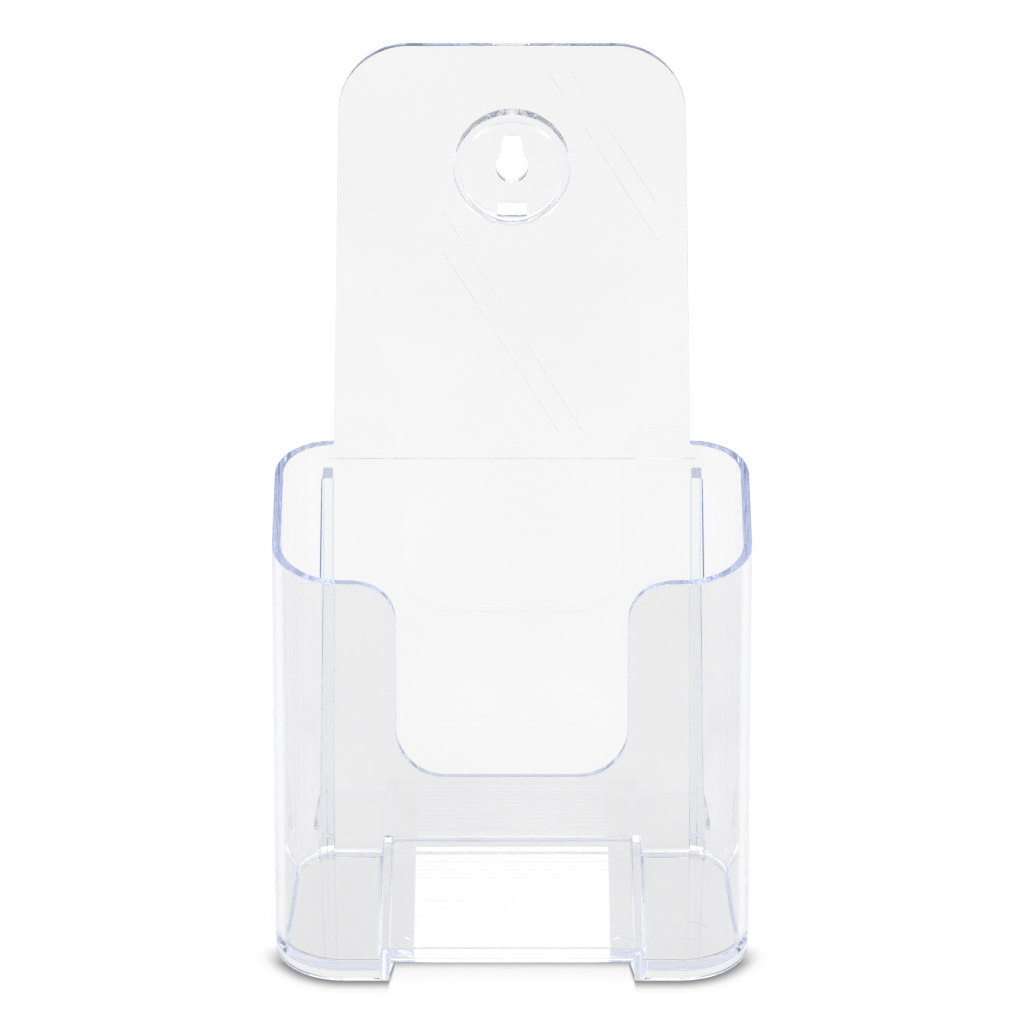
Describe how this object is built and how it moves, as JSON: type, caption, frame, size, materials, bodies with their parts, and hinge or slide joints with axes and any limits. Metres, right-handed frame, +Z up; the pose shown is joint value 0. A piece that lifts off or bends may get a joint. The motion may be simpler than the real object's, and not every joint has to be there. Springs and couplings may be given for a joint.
{
  "type": "brochure rack",
  "caption": "Clear one-pocket leaflet rack that stands on a counter or hangs by a keyhole, with a tall leaning back panel, a thumb window in front and a channel under the floor.",
  "frame": {"origin": "on the ground, at the middle of the rack's outline in width and depth", "axes": "+Z up; the front, with the thumb window, faces -Y; +X is the viewer's right from the front"},
  "size_m": [0.108, 0.0826, 0.197],
  "materials": {
    "clear_polystyrene": "water-clear moulded polystyrene, polished, with a faint blue in its edges"
  },
  "bodies": {
    "root": {"back_panel": "clear_polystyrene", "center_floor_margin_left": "clear_polystyrene", "center_floor_margin_right": "clear_polystyrene", "channel_wall_left": "clear_polystyrene", "channel_wall_right": "clear_polystyrene", "front_corner_left": "clear_polystyrene", "front_corner_right": "clear_polystyrene", "front_sill": "clear_polystyrene", "front_wing_left": "clear_polystyrene", "front_wing_right": "clear_polystyrene", "hanger_ring": "clear_polystyrene", "keyhole_plate": "clear_polystyrene", "pocket_back": "clear_polystyrene", "rear_corner_left": "clear_polystyrene", "rear_corner_right": "clear_polystyrene", "rear_fin_left": "clear_polystyrene", "rear_fin_right": "clear_polystyrene", "rear_foot_left": "clear_polystyrene", "rear_foot_right": "clear_polystyrene", "ridged_floor": "clear_polystyrene", "side_floor_left": "clear_polystyrene", "side_floor_right": "clear_polystyrene", "side_wall_left": "clear_polystyrene", "side_wall_right": "clear_polystyrene"}
  },
  "joints": []
}
